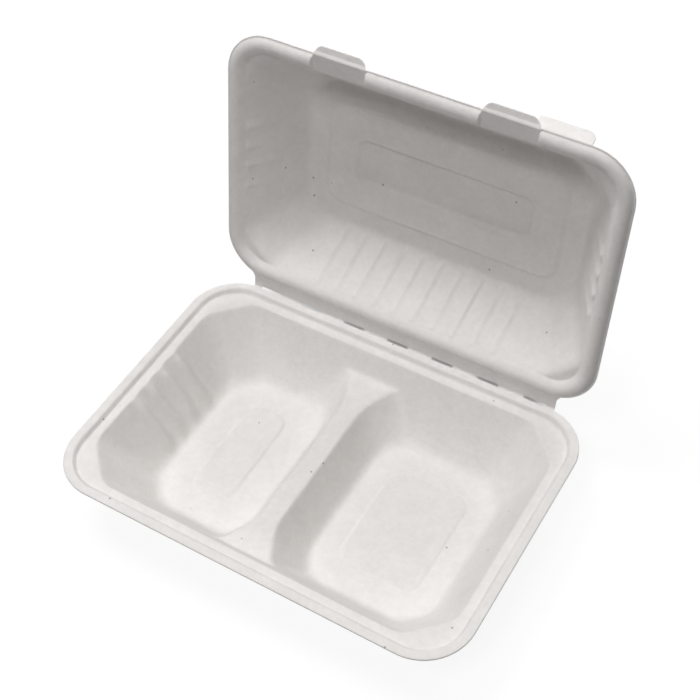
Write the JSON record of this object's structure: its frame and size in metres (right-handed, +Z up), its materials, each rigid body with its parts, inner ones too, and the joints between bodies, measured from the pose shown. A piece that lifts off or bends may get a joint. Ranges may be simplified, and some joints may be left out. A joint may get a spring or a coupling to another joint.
{
  "type": "moulded pulp clamshell food container",
  "caption": "Open takeaway clamshell moulded from bagasse pulp, with a divided tray, fluted walls and a lid with closing tabs.",
  "frame": {"origin": "middle of the open container's length and width, on the surface it stands on", "axes": "+X along the crease towards the large compartment, +Y from the front edge towards the crease and the lid, +Z up"},
  "size_m": [0.24, 0.2268, 0.2008],
  "materials": {
    "pulp": "matte"
  },
  "bodies": {
    "tray": {"tray": "pulp"},
    "lid": {"lid": "pulp"}
  },
  "joints": [
    {"name": "crease", "type": "hinge", "parent": "tray", "child": "lid", "pos_m": [0, 0.0519, 0.04135], "axis": [-1, 0, 0], "range_deg": [-101.5, 78.5]}
  ]
}
